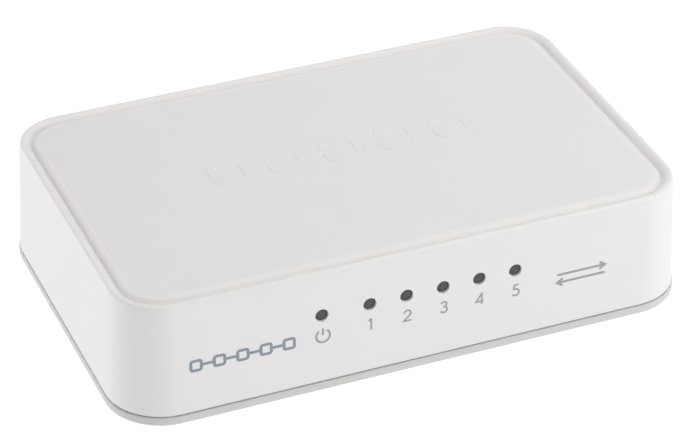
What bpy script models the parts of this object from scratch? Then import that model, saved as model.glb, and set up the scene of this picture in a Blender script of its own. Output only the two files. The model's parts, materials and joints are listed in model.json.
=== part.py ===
"""A five-port desktop network switch, as the separate pieces that it comes apart into.

Sizes are in millimetres, and each mesh is scaled to metres as it is made. +Z is up, the front with the
indicator lights faces -Y, and the sockets face +Y. The origin is under the middle of the case, on the
plane that its feet stand on.
"""

import math

import bmesh
import bpy
from mathutils import Matrix, Vector

METRES = 0.001

# Case: the outline is given at the parting line between the two halves.
CASE_HALF_X = 60.0
CASE_HALF_Y = 38.0
CASE_CORNER = 11.5
CASE_TOP = 27.5
PARTING_Z = 3.15
TAPER = math.tan(math.radians(2.7))
WALL = 2.0
CEILING = 25.3
CORNER_STEPS = 10
EDGE_ROUND = 0.7
BOSS_RADIUS = 3.2
BORE_RADIUS = 1.35
BORE_TOP = 14.0
RIB_XS = (-30.0, 30.0)
RIB_Y = (-30.0, 14.0)
RIB_WIDE = 1.2
RIB_DEEP = 2.2
INTO = 0.5  # how far a boss or a rib runs into the ceiling that it joins
FRONT_CUT_Y = (-40.0, -33.0)
BACK_CUT_Y = (34.0, 40.0)

# Relief of the top: a narrow rim, a sloping groove, and a raised panel, as (inset, depth below the rim).
RELIEF = ((0.9, 0.0), (2.25, 0.65), (2.45, 0.7), (2.65, 0.55), (2.95, 0.28), (3.4, 0.16), (3.7, 0.15))

# Base tray
FOOT_DROP = 1.0
BASE_PROUD = 0.2
BASE_ROUND = 0.6
BASE_EDGE = 0.25
BASE_TOP = 2.95
FLOOR_TOP = 2.8
POST_RADIUS = 4.0
POST_FOOT = 2.0
BOARD_POST_RADIUS = 3.0
PEG_RADIUS = 2.6
PEG_TIP_RADIUS = 1.0
PEG_TIP_ABOVE = 0.6
UPSTAND_Y = 36.1
LIP_GAP = 0.25
LIP_THICK = 1.2
LIP_TOP = 5.2
GAP = 0.1

# Circuit board
BOARD_LOW = 5.4
BOARD_TOP = 7.0
BOARD_HALF_X = 49.0
BOARD_FRONT = -33.4
BOARD_BACK = 35.4
BOARD_CORNER = 2.0
BOARD_SCREW_HOLE = 1.6
PEG_HOLE = 1.15
PART_Z = BOARD_TOP + 0.05

# Parts that stand on the board: (half width, half depth, height), and (x, y) where there is one of them
TRANSFORMER = (6.7, 4.5, 5.8)
TRANSFORMER_Y = 10.0
CHIP = (7.0, 7.0, 1.4)
CHIP_AT = (6.2, -9.0)
SINK_HALF = 8.5
SINK_HIGH = 7.5
SINK_PLATE = 2.0
FINS = 6
FIN_THICK = 1.0
CRYSTAL = (5.3, 2.1, 3.5)
CRYSTAL_AT = (24.0, -9.0)
INDUCTOR = (3.6, 3.6, 4.2)
INDUCTOR_AT = (-40.0, -8.0)
REGULATOR = (2.5, 2.0, 1.5)
REGULATOR_AT = (-29.0, -8.0)
LAMP = (1.6, 1.4, 1.9)
CAPACITORS = ((4.0, 11.0, (-44.0, 16.0)), (3.15, 7.5, (-44.0, 5.0)))

# Sockets: the face of every socket stands on one plane at the back.
FACE_Y = 37.8
JACK_PITCH = 16.4
JACK_MIDDLE_X = 6.2
PORTS = 5
JACK_WIDE = 15.9
JACK_HIGH = 13.3
JACK_LONG = 20.0
SHEET = 0.25
CUTOUT_GAP = 0.3
UPSTAND_TOP = 6.9
PLUG_WIDE = 11.8
PLUG_LOW = 4.2
PLUG_HIGH = 11.1
PLUG_DEEP = 13.0
LATCH_WIDE = 6.4
LATCH_MIDDLE = 2.6
KEY_WIDE = 3.8
KEY_LOW = 0.9

# Contact springs of a socket: a comb of wires that pivots at its bar.
WIRES = 8
WIRE_PITCH = 1.016
WIRE_WIDE = 0.45
WIRE_THICK = 0.35
WIRE_LONG = 8.6
WIRE_SLOPE = math.radians(19.0)
COMB_Y = -3.4
COMB_Z = 11.6
COMB_BAR = (4.5, 0.35, 0.3)
COMB_ROOM = (4.7, -2.6, 12.1)

# Power socket
POWER_X = -42.4
POWER_WIDE = 9.0
POWER_HIGH = 10.8
POWER_LONG = 13.5
BARREL_Z = 6.3
BARREL_RADIUS = 3.15
BARREL_DEEP = 9.6
PIN_RADIUS = 1.0
PIN_FRONT = 1.0
PIN_BACK = 12.0
LEAF_Y = -11.0
LEAF_Z = 2.55
LEAF_HALF = 1.2
LEAF_THICK = 0.3
LEAF_BITE = 0.35
LEAF_ROOM_Y = (-12.0, -2.5)
LEAF_ROOM_Z = (1.4, 4.3)

# Indicator lights
LIGHT_Z = 18.1
LIGHT_HOLE = 1.25
LIGHT_Y = -31.0
GUIDE_HALF = 1.1
GUIDE_TIP_RADIUS = 1.15
GUIDE_TIP_START = -35.0
GUIDE_TIP_Y = -37.05
GUIDE_X = (-27.0, 28.0)
GUIDE_LEG = 2.0
GUIDE_BAR = (12.5, 14.5)
GUIDE_THICK = 1.6
LIGHT_XS = [-19.8] + [5.4 + 7.66 * (i - 2) for i in range(PORTS)]

# Fasteners, feet and the features of the floor, as (x, y)
CASE_SCREWS = [(x, y) for y in (-24.0, 24.0) for x in (-53.4, 53.4)]
BOARD_SCREWS = [(-44.5, -26.0), (44.5, -26.0)]
PEGS = [(-36.2, 12.5), (46.5, 2.0)]
FEET = [(x, y) for y in (-28.0, 28.0) for x in (-44.0, 44.0)]
FOOT_RADIUS = 5.0
FOOT_SUNK = 0.5
SCREW_SEAT = 3.55
SHANK_RADIUS = 1.2
SHANK_LONG = 8.4
HEAD_RADIUS = 2.5
HEAD_HIGH = 1.7
BOARD_SHANK_RADIUS = 0.95
BOARD_SHANK_LONG = 4.0
BOARD_HEAD_RADIUS = 2.4
BOARD_HEAD_HIGH = 1.6
PILOT_RADIUS = 1.1
KEYHOLES = [-38.0, 38.0]
KEYHOLE_Y = 4.0
KEYHOLE_HEAD = 3.75
KEYHOLE_NECK = 2.1
KEYHOLE_TRAVEL = 8.0
VENT_XS = [6.0 * i for i in range(-5, 6)]
VENT_Y = (6.0, 22.0)
VENT_WIDE = 1.8
LABEL = ((-30.0, -27.0), (30.0, -5.0))
LABEL_RECESS = 0.3
LABEL_MARGIN = 0.3
LABEL_ABOVE = (0.05, 0.25)

COLOURS = {
    "case_white": ((0.82, 0.82, 0.81), 0.42, 0.0),
    "base_grey": ((0.62, 0.62, 0.61), 0.45, 0.0),
    "foot_rubber": ((0.05, 0.05, 0.05), 0.85, 0.0),
    "screw_steel": ((0.45, 0.45, 0.46), 0.35, 1.0),
    "board_green": ((0.02, 0.16, 0.07), 0.4, 0.0),
    "black_plastic": ((0.02, 0.02, 0.02), 0.5, 0.0),
    "tin_plate": ((0.62, 0.62, 0.60), 0.3, 1.0),
    "gold_plate": ((0.83, 0.62, 0.24), 0.25, 1.0),
    "black_aluminium": ((0.05, 0.05, 0.055), 0.45, 0.6),
    "bare_aluminium": ((0.68, 0.69, 0.70), 0.35, 1.0),
    "smoked_clear": ((0.09, 0.088, 0.083), 0.2, 0.0),
    "light_white": ((0.8, 0.78, 0.66), 0.4, 0.0),
    "label_silver": ((0.7, 0.7, 0.7), 0.5, 0.0),
}


# ---- Solids, each as a bmesh in millimetres ----


def block(low, high):
    solid = bmesh.new()
    bmesh.ops.create_cube(solid, size=1.0)
    low, high = Vector(low), Vector(high)
    bmesh.ops.scale(solid, vec=high - low, verts=solid.verts)
    bmesh.ops.translate(solid, vec=(low + high) / 2, verts=solid.verts)
    return solid


def chamfered_block(low, high, offset):
    solid = block(low, high)
    bmesh.ops.bevel(solid, geom=solid.edges[:], offset=offset, segments=1, affect="EDGES")
    return solid


def loft(rings):
    """A closed solid through rings of as many points each, with a flat cap on the first and the last."""
    solid = bmesh.new()
    rows = [[solid.verts.new(point) for point in ring] for ring in rings]
    for row, above in zip(rows, rows[1:]):
        for i in range(len(row)):
            j = (i + 1) % len(row)
            solid.faces.new((row[i], row[j], above[j], above[i]))
    solid.faces.new(rows[0])
    solid.faces.new(rows[-1])
    bmesh.ops.recalc_face_normals(solid, faces=solid.faces)
    return solid


def circle(radius, z, sides):
    turns = [2 * math.pi * i / sides for i in range(sides)]
    return [(radius * math.cos(t), radius * math.sin(t), z) for t in turns]


def turned(profile, at=(0.0, 0.0), sides=20):
    """A solid turned about a vertical axis, from a profile of (radius, z) between two flat ends."""
    solid = loft([circle(radius, z, sides) for radius, z in profile])
    bmesh.ops.translate(solid, vec=(at[0], at[1], 0.0), verts=solid.verts)
    return solid


def rod(radius, low, high, at=(0.0, 0.0), sides=20):
    return turned([(radius, low), (radius, high)], at, sides)


def rod_along_y(radius, x, z, y_low, y_high, sides=20):
    solid = rod(radius, y_low, y_high, sides=sides)
    bmesh.ops.rotate(solid, matrix=Matrix.Rotation(math.radians(-90), 3, "X"), verts=solid.verts)
    bmesh.ops.translate(solid, vec=(x, 0.0, z), verts=solid.verts)
    return solid


def prism(outline, axis, low, high):
    """An outline of pairs pushed along an axis: pairs are (y, z) along X, (x, z) along Y, (x, y) along Z."""

    def place(pair, level):
        point = list(pair)
        point.insert("XYZ".index(axis), level)
        return point

    return loft([[place(pair, level) for pair in outline] for level in (low, high)])


def rounded_outline(half_x, half_y, radius, steps=CORNER_STEPS):
    points = []
    for quarter, (side_x, side_y) in enumerate(((1, 1), (-1, 1), (-1, -1), (1, -1))):
        for step in range(steps + 1):
            turn = math.radians(90 * (quarter + step / steps))
            x = side_x * (half_x - radius) + radius * math.cos(turn)
            y = side_y * (half_y - radius) + radius * math.sin(turn)
            points.append((x, y))
    return points


def together(solids):
    """Solids that don't touch, in one bmesh, so that one Boolean takes them all."""
    whole = bmesh.new()
    for solid in solids:
        mesh = bpy.data.meshes.new("piece")
        solid.to_mesh(mesh)
        whole.from_mesh(mesh)
        bpy.data.meshes.remove(mesh)
        solid.free()
    return whole


# ---- Objects ----


def material(name):
    found = bpy.data.materials.get(name)
    if found:
        return found
    colour, roughness, metallic = COLOURS[name]
    made = bpy.data.materials.new(name)
    made.use_nodes = True
    shader = made.node_tree.nodes["Principled BSDF"]
    shader.inputs["Base Color"].default_value = (*colour, 1.0)
    shader.inputs["Roughness"].default_value = roughness
    shader.inputs["Metallic"].default_value = metallic
    made.diffuse_color = (*colour, 1.0)
    return made


def mesh_of(solid, name):
    bmesh.ops.scale(solid, vec=(METRES,) * 3, verts=solid.verts)
    mesh = bpy.data.meshes.new(name)
    solid.to_mesh(mesh)
    solid.free()
    return mesh


def add_object(name, mesh, parent=None):
    made = bpy.data.objects.new(name, mesh)
    bpy.context.scene.collection.objects.link(made)
    made.parent = parent
    return made


def combine(target, solid, operation):
    """Joins a solid to an object, or cuts it out, with an applied Boolean."""
    tool = add_object("tool", mesh_of(solid, "tool"))
    modifier = target.modifiers.new(operation.title(), "BOOLEAN")
    modifier.operation = operation
    modifier.object = tool
    graph = bpy.context.evaluated_depsgraph_get()
    shaped = bpy.data.meshes.new_from_object(target.evaluated_get(graph))
    target.modifiers.clear()
    target.data = shaped
    bpy.data.objects.remove(tool)


def build(solid, joined=(), cut=()):
    """The finished mesh of a solid with others joined to it, and then others cut out of it."""
    shaped = add_object("shaped", mesh_of(solid, "shaped"))
    for other in joined:
        combine(shaped, other, "UNION")
    for other in cut:
        combine(shaped, other, "DIFFERENCE")
    mesh = shaped.data
    bpy.data.objects.remove(shaped)
    return mesh


def place(name, mesh, finish, location=(0.0, 0.0, 0.0), parent=None):
    """One sub-part: its mesh under its own name, with its finish, at a place given in millimetres."""
    made = add_object(name, mesh, parent)
    made.location = Vector(location) * METRES
    mesh.materials.clear()
    mesh.materials.append(material(finish))
    mesh.shade_smooth()
    mesh.set_sharp_from_angle(angle=math.radians(30))
    return made


def anchor(name, location):
    empty = bpy.data.objects.new(name, None)
    bpy.context.scene.collection.objects.link(empty)
    empty.location = Vector(location) * METRES
    return empty


# ---- Case ----


def case_ring(z, inset):
    """The tapered outer surface of the cover at a height, moved inwards."""
    inwards = TAPER * (z - PARTING_Z) + inset
    outline = rounded_outline(CASE_HALF_X - inwards, CASE_HALF_Y - inwards, CASE_CORNER - inwards)
    return [(x, y, z) for x, y in outline]


def base_ring(z, inset):
    grown = BASE_PROUD - inset
    outline = rounded_outline(CASE_HALF_X + grown, CASE_HALF_Y + grown, CASE_CORNER + grown)
    return [(x, y, z) for x, y in outline]


def jack_xs():
    return [JACK_MIDDLE_X + JACK_PITCH * (i - (PORTS - 1) / 2) for i in range(PORTS)]


def cutout_spans():
    """The gaps in the back wall for the power socket and the ports, as (low x, high x, top z)."""
    power = POWER_WIDE / 2 + CUTOUT_GAP
    ports = JACK_WIDE / 2 + CUTOUT_GAP
    xs = jack_xs()
    return [
        (POWER_X - power, POWER_X + power, PART_Z + POWER_HIGH + CUTOUT_GAP),
        (xs[0] - ports, xs[-1] + ports, PART_Z + JACK_HIGH + CUTOUT_GAP),
    ]


def top_cover():
    edge = [math.radians(angle) for angle in (0, 30, 60, 90)]
    rounding = [
        case_ring(CASE_TOP - EDGE_ROUND * (1 - math.sin(a)), EDGE_ROUND * (1 - math.cos(a))) for a in edge
    ]
    relief = [case_ring(CASE_TOP - depth, inset) for inset, depth in RELIEF]
    walls = [case_ring(CEILING, WALL), case_ring(PARTING_Z, WALL), case_ring(PARTING_Z, 0.0)]
    shell = loft(walls + rounding + relief)

    bosses = together(rod(BOSS_RADIUS, LIP_TOP + 0.2, CEILING + INTO, at) for at in CASE_SCREWS)
    half, low = RIB_WIDE / 2, CEILING - RIB_DEEP
    ribs = together(
        block((x - half, RIB_Y[0], low), (x + half, RIB_Y[1], CEILING + INTO)) for x in RIB_XS
    )
    bores = together(rod(BORE_RADIUS, LIP_TOP - 1.0, BORE_TOP, at) for at in CASE_SCREWS)
    holes = together(rod_along_y(LIGHT_HOLE, x, LIGHT_Z, *FRONT_CUT_Y) for x in LIGHT_XS)
    near, far = BACK_CUT_Y
    cutouts = together(block((low, near, 0.0), (high, far, top)) for low, high, top in cutout_spans())
    mesh = build(shell, joined=[bosses, ribs], cut=[bores, holes, cutouts])
    place("top_cover", mesh, "case_white")


def keyhole(x):
    """A hole that a screw's head passes, with a neck towards the front that its shank slides along."""
    sides = 12
    outline = []
    for i in range(sides + 1):
        turn = math.pi * i / sides
        neck_y = KEYHOLE_Y - KEYHOLE_TRAVEL - KEYHOLE_NECK * math.sin(turn)
        outline.append((x - KEYHOLE_NECK * math.cos(turn), neck_y))
    start = math.asin(KEYHOLE_NECK / KEYHOLE_HEAD)
    for i in range(2 * sides + 1):
        turn = -math.pi / 2 + start + (2 * math.pi - 2 * start) * i / (2 * sides)
        outline.append((x + KEYHOLE_HEAD * math.cos(turn), KEYHOLE_Y + KEYHOLE_HEAD * math.sin(turn)))
    return prism(outline, "Z", 0.0, FLOOR_TOP + 1.0)


def base_tray():
    bottom = FOOT_DROP
    turns = [math.radians(angle) for angle in (0, 35, 65, 90)]
    rings = [
        base_ring(bottom + BASE_ROUND * (1 - math.cos(a)), BASE_ROUND * (1 - math.sin(a))) for a in turns
    ]
    rings += [base_ring(BASE_TOP - BASE_EDGE, 0.0), base_ring(BASE_TOP, BASE_EDGE)]
    lip_outer, lip_inner = WALL + LIP_GAP, WALL + LIP_GAP + LIP_THICK
    rings += [case_ring(BASE_TOP, lip_outer), case_ring(LIP_TOP, lip_outer)]
    rings += [case_ring(LIP_TOP, lip_inner), case_ring(FLOOR_TOP, lip_inner)]

    upstands = together(
        block((low + GAP, UPSTAND_Y, POST_FOOT), (high - GAP, FACE_Y, UPSTAND_TOP))
        for low, high, _ in cutout_spans()
    )
    shoulder = BOARD_LOW - 0.05
    peg = [(PEG_RADIUS, POST_FOOT), (PEG_RADIUS, shoulder)]
    peg += [(PEG_TIP_RADIUS, shoulder), (PEG_TIP_RADIUS, BOARD_TOP + PEG_TIP_ABOVE)]
    posts = [rod(POST_RADIUS, POST_FOOT, LIP_TOP, at) for at in CASE_SCREWS]
    posts += [rod(BOARD_POST_RADIUS, POST_FOOT, shoulder, at) for at in BOARD_SCREWS]
    posts += [turned(peg, at) for at in PEGS]

    seat = SCREW_SEAT + 0.05
    counterbore = [(HEAD_RADIUS + 0.4, 0.0), (HEAD_RADIUS + 0.4, seat), (SHANK_RADIUS + 0.4, seat)]
    counterbore.append((SHANK_RADIUS + 0.4, LIP_TOP + 1.0))
    sunk = [turned(counterbore, at) for at in CASE_SCREWS]
    sunk += [rod(PILOT_RADIUS, POST_FOOT + 0.2, LIP_TOP + 1.0, at) for at in BOARD_SCREWS]
    sunk += [rod(FOOT_RADIUS + GAP, 0.0, bottom + FOOT_SUNK + GAP, at, 32) for at in FEET]
    vents = [block((x - VENT_WIDE / 2, VENT_Y[0], 0.0), (x + VENT_WIDE / 2, VENT_Y[1], 4.0)) for x in VENT_XS]
    (x0, y0), (x1, y1) = LABEL
    recess = block((x0, y0, 0.0), (x1, y1, bottom + LABEL_RECESS))
    cutters = together(sunk + vents + [recess] + [keyhole(x) for x in KEYHOLES])
    mesh = build(loft(rings), joined=[upstands, together(posts)], cut=[cutters])
    place("base_tray", mesh, "base_grey")


def rating_label():
    (x0, y0), (x1, y1) = LABEL
    margin = LABEL_MARGIN
    low, high = (FOOT_DROP + level for level in LABEL_ABOVE)
    sheet = block((x0 + margin, y0 + margin, low), (x1 - margin, y1 - margin, high))
    place("rating_label", mesh_of(sheet, "rating_label"), "label_silver")


def feet():
    profile = [(FOOT_RADIUS - 0.4, 0.0), (FOOT_RADIUS, 0.4), (FOOT_RADIUS, FOOT_DROP + FOOT_SUNK)]
    mesh = mesh_of(turned(profile, sides=32), "rubber_foot")
    for number, (x, y) in enumerate(FEET, 1):
        place(f"rubber_foot_{number}", mesh, "foot_rubber", (x, y, 0.0))


def screw_mesh(shank_radius, shank_long, head_radius, head_high):
    """A pan-head screw with its head's underside at the origin and its shank along +Z."""
    profile = [
        (head_radius * 0.6, -head_high),
        (head_radius * 0.9, -head_high * 0.8),
        (head_radius, -head_high * 0.4),
        (head_radius, 0.0),
        (shank_radius, 0.0),
        (shank_radius, shank_long - 0.8),
        (shank_radius * 0.5, shank_long),
    ]
    slot = 0.3
    arm = head_radius * 0.55
    cross = [
        block((-arm, -slot, -head_high - 1.0), (arm, slot, -head_high * 0.45)),
        block((-slot, -arm, -head_high - 1.0), (slot, arm, -head_high * 0.45)),
    ]
    return build(turned(profile, sides=16), cut=cross)


def screws():
    case_mesh = screw_mesh(SHANK_RADIUS, SHANK_LONG, HEAD_RADIUS, HEAD_HIGH)
    for number, (x, y) in enumerate(CASE_SCREWS, 1):
        place(f"case_screw_{number}", case_mesh, "screw_steel", (x, y, SCREW_SEAT))
    board_mesh = screw_mesh(BOARD_SHANK_RADIUS, BOARD_SHANK_LONG, BOARD_HEAD_RADIUS, BOARD_HEAD_HIGH)
    for number, (x, y) in enumerate(BOARD_SCREWS, 1):
        fixed = place(f"board_screw_{number}", board_mesh, "screw_steel", (x, y, PART_Z))
        fixed.rotation_euler = (math.pi, 0.0, 0.0)


# ---- Circuit board and what is soldered to it ----


def circuit_board():
    middle_y = (BOARD_FRONT + BOARD_BACK) / 2
    outline = rounded_outline(BOARD_HALF_X, (BOARD_BACK - BOARD_FRONT) / 2, BOARD_CORNER, steps=3)
    plate = prism([(x, y + middle_y) for x, y in outline], "Z", BOARD_LOW, BOARD_TOP)
    low, high = BOARD_LOW - 1.0, BOARD_TOP + 1.0
    holes = [rod(BOARD_SCREW_HOLE, low, high, at) for at in BOARD_SCREWS]
    holes += [rod(PEG_HOLE, low, high, at) for at in PEGS]
    place("circuit_board", build(plate, cut=[together(holes)]), "board_green")


def package(name, finish, size, chamfer, location):
    """A moulded package that stands on the board, from its half width, half depth and height."""
    half_x, half_y, high = size
    solid = chamfered_block((-half_x, -half_y, 0.0), (half_x, half_y, high), chamfer)
    place(name, mesh_of(solid, name), finish, location)


def heat_sink():
    """A plate with upright fins, drawn as one outline across the fins and pushed along them."""
    pitch = (2 * SINK_HALF - FIN_THICK) / (FINS - 1)
    outline = [(SINK_HALF, 0.0), (-SINK_HALF, 0.0)]
    for i in range(FINS):
        left = -SINK_HALF + i * pitch
        outline += [(left, SINK_HIGH), (left + FIN_THICK, SINK_HIGH)]
        if i < FINS - 1:
            outline += [(left + FIN_THICK, SINK_PLATE), (left + pitch, SINK_PLATE)]
    mesh = mesh_of(prism(outline, "Y", -SINK_HALF, SINK_HALF), "heat_sink")
    place("heat_sink", mesh, "black_aluminium", (*CHIP_AT, PART_Z + CHIP[2] + 0.05))


def crystal():
    half_x, half_y, high = CRYSTAL
    can = prism(rounded_outline(half_x, half_y, half_y - 0.1, steps=4), "Z", 0.0, high)
    place("crystal_can", mesh_of(can, "crystal_can"), "bare_aluminium", (*CRYSTAL_AT, PART_Z))


def capacitors():
    for number, (radius, high, at) in enumerate(CAPACITORS, 1):
        neck = radius - 0.3
        profile = [(radius, 0.0), (radius, 1.2), (neck, 1.5), (radius, 1.8)]
        profile += [(radius, high - 0.4), (neck, high)]
        mesh = mesh_of(turned(profile, sides=24), "capacitor")
        place(f"capacitor_{number}", mesh, "bare_aluminium", (*at, PART_Z))


def board_parts():
    for number, x in enumerate(jack_xs(), 1):
        location = (x, TRANSFORMER_Y, PART_Z)
        package(f"line_transformer_{number}", "black_plastic", TRANSFORMER, 0.4, location)
    package("switch_chip", "black_plastic", CHIP, 0.3, (*CHIP_AT, PART_Z))
    package("power_inductor", "black_plastic", INDUCTOR, 0.9, (*INDUCTOR_AT, PART_Z))
    package("voltage_regulator", "black_plastic", REGULATOR, 0.2, (*REGULATOR_AT, PART_Z))
    heat_sink()
    crystal()
    capacitors()
    for name, x in zip(["power"] + [str(i + 1) for i in range(PORTS)], LIGHT_XS):
        package(f"indicator_led_{name}", "light_white", LAMP, 0.3, (x, LIGHT_Y, PART_Z))


def light_guide():
    """Clear columns over the lamps, each turning its light at a sloped face into a hole in front."""
    half = GUIDE_HALF
    bottom, top = PART_Z + LAMP[2] + 0.25, LIGHT_Z + half
    back, front = LIGHT_Y + half, LIGHT_Y - half
    column = [
        (back, bottom),
        (back, top - 2 * half),
        (front, top),
        (GUIDE_TIP_START, top),
        (GUIDE_TIP_START, top - 2 * half),
        (front, top - 2 * half),
        (front, bottom),
    ]
    arms = together(prism(column, "X", x - half, x + half) for x in LIGHT_XS)
    tip_end = GUIDE_TIP_START + 1.0
    tips = together(rod_along_y(GUIDE_TIP_RADIUS, x, LIGHT_Z, GUIDE_TIP_Y, tip_end) for x in LIGHT_XS)
    (low, high), leg = GUIDE_X, GUIDE_LEG
    bar = [(low, PART_Z), (low + leg, PART_Z), (low + leg, GUIDE_BAR[0]), (high - leg, GUIDE_BAR[0])]
    bar += [(high - leg, PART_Z), (high, PART_Z), (high, GUIDE_BAR[1]), (low, GUIDE_BAR[1])]
    frame = prism(bar, "Y", LIGHT_Y - GUIDE_THICK / 2, LIGHT_Y + GUIDE_THICK / 2)
    place("light_guide", build(frame, joined=[arms, tips]), "smoked_clear")


# ---- Sockets: each is drawn with its face at y = 0, its middle at x = 0, and the board at z = 0 ----


def port_outline(margin):
    """The way in for a plug, with the stepped way for its latch below, as (x, z)."""
    wide, latch, key = PLUG_WIDE / 2 + margin, LATCH_WIDE / 2 + margin, KEY_WIDE / 2 + margin
    low, middle, bottom, high = PLUG_LOW - margin, LATCH_MIDDLE - margin, KEY_LOW - margin, PLUG_HIGH + margin
    right = [(key, bottom), (key, middle), (latch, middle), (latch, low), (wide, low), (wide, high)]
    return right + [(-x, z) for x, z in reversed(right)]


def jack_housing_mesh():
    side = JACK_WIDE / 2 - SHEET - GAP
    body = block((-side, -JACK_LONG + SHEET + GAP, 0.1), (side, -SHEET - GAP, JACK_HIGH - SHEET - GAP))
    way_in = prism(port_outline(0.0), "Y", -PLUG_DEEP, 1.0)
    half, front, top = COMB_ROOM
    comb_room = block((-half, -PLUG_DEEP, PLUG_HIGH - 1.0), (half, front, top))
    return build(body, cut=[way_in, comb_room])


def jack_shield_mesh():
    """A folded box of tin plate, open underneath, with a window in front for the plug."""
    half = JACK_WIDE / 2
    shell = block((-half, -JACK_LONG, 0.1), (half, 0.0, JACK_HIGH))
    inside = block((-half + SHEET, -JACK_LONG + SHEET, -1.0), (half - SHEET, -SHEET, JACK_HIGH - SHEET))
    window = prism(port_outline(0.2), "Y", -1.0, 1.0)
    return build(shell, cut=[inside, window])


def contact_comb_mesh():
    """Eight wires that slope down into the socket from the bar that they bend at, which is the origin."""
    x, y, z = COMB_BAR
    bar = block((-x, -y, -z), (x, y, z))
    along = Vector((-math.cos(WIRE_SLOPE), -math.sin(WIRE_SLOPE)))
    across = Vector((along.y, -along.x)) * (WIRE_THICK / 2)
    end = along * WIRE_LONG
    outline = [across, end + across * 0.6, end - across * 0.6, -across]
    firsts = [WIRE_PITCH * (i - (WIRES - 1) / 2) - WIRE_WIDE / 2 for i in range(WIRES)]
    wires = together(prism([(p.x, p.y) for p in outline], "X", low, low + WIRE_WIDE) for low in firsts)
    return build(bar, joined=[wires])


def power_socket_body_mesh():
    half = POWER_WIDE / 2
    body = block((-half, -POWER_LONG, 0.1), (half, 0.0, POWER_HIGH))
    barrel = rod_along_y(BARREL_RADIUS, 0.0, BARREL_Z, -BARREL_DEEP, 1.0, sides=32)
    pin_seat = rod_along_y(PIN_RADIUS + GAP, 0.0, BARREL_Z, -PIN_BACK - 0.1, -BARREL_DEEP + 1.0, sides=16)
    (low_y, high_y), (low_z, high_z), room_half = LEAF_ROOM_Y, LEAF_ROOM_Z, LEAF_HALF + 0.3
    leaf_room = block((-room_half, low_y, low_z), (room_half, high_y, high_z))
    return build(body, cut=[barrel, pin_seat, leaf_room])


def power_socket_pin_mesh():
    """The centre pin, drawn upright with its front end down."""
    pin = rod(PIN_RADIUS, PIN_FRONT + 0.4, PIN_BACK, sides=16)
    tip = rod(PIN_RADIUS * 0.7, PIN_FRONT, PIN_FRONT + 1.0, sides=16)
    return build(pin, joined=[tip])


def power_socket_leaf_mesh():
    """The leaf spring that presses on the plug's barrel, drawn from its root, which is the origin."""
    crest = BARREL_Z - BARREL_RADIUS + LEAF_BITE - LEAF_Z
    half_thick = LEAF_THICK / 2
    upper = [(0.3, half_thick), (3.6, crest - 0.1), (4.8, crest), (7.4, 0.0)]
    lower = [(y, z - LEAF_THICK) for y, z in reversed(upper)]
    outline = [(-0.5, half_thick)] + upper + lower + [(-0.5, -half_thick)]
    return mesh_of(prism(outline, "X", -LEAF_HALF, LEAF_HALF), "leaf")


def power_socket():
    socket = anchor("power_socket_at", (POWER_X, FACE_Y, PART_Z))
    place("power_socket_body", power_socket_body_mesh(), "black_plastic", parent=socket)
    pin = place("power_socket_pin", power_socket_pin_mesh(), "tin_plate", (0.0, 0.0, BARREL_Z), socket)
    pin.rotation_euler = (math.radians(90), 0.0, 0.0)
    place("power_socket_leaf", power_socket_leaf_mesh(), "tin_plate", (0.0, LEAF_Y, LEAF_Z), socket)


def port_sockets():
    housing, shield, comb = jack_housing_mesh(), jack_shield_mesh(), contact_comb_mesh()
    for number, x in enumerate(jack_xs(), 1):
        socket = anchor(f"port_{number}_at", (x, FACE_Y, PART_Z))
        place(f"port_{number}_housing", housing, "black_plastic", parent=socket)
        place(f"port_{number}_shield", shield, "tin_plate", parent=socket)
        place(f"port_{number}_contacts", comb, "gold_plate", (0.0, COMB_Y, COMB_Z), socket)


def main():
    for old in list(bpy.data.objects):
        bpy.data.objects.remove(old)
    top_cover()
    base_tray()
    rating_label()
    feet()
    screws()
    circuit_board()
    board_parts()
    light_guide()
    port_sockets()
    power_socket()


main()
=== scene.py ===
"""The looks of a small desktop network switch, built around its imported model.

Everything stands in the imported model's own frame: +Z is up, the front with the indicator lights faces -Y,
and the sockets face +Y. Shapes are drawn in millimetres and become metres when their meshes are made.
"""

import functools
import json
import math

import bmesh
import bpy
from mathutils import Matrix, Vector


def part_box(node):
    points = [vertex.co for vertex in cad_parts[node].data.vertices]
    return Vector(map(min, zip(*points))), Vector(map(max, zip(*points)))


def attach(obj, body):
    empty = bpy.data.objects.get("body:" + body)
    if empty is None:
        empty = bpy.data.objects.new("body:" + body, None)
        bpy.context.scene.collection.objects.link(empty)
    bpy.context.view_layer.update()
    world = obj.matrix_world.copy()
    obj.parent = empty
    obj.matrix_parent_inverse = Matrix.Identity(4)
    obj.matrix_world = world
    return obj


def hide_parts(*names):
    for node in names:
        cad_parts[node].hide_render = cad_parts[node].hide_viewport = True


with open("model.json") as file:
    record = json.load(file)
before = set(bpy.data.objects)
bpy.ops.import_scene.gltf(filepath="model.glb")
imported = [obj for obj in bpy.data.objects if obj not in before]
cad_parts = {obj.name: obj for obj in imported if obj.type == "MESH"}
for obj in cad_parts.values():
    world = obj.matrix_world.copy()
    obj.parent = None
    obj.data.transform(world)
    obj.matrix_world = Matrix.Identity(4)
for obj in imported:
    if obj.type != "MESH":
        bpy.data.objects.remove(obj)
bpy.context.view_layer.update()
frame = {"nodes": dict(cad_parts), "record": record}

METRES = 0.001


def box_mm(node):
    low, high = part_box(node)
    return low / METRES, high / METRES


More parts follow.
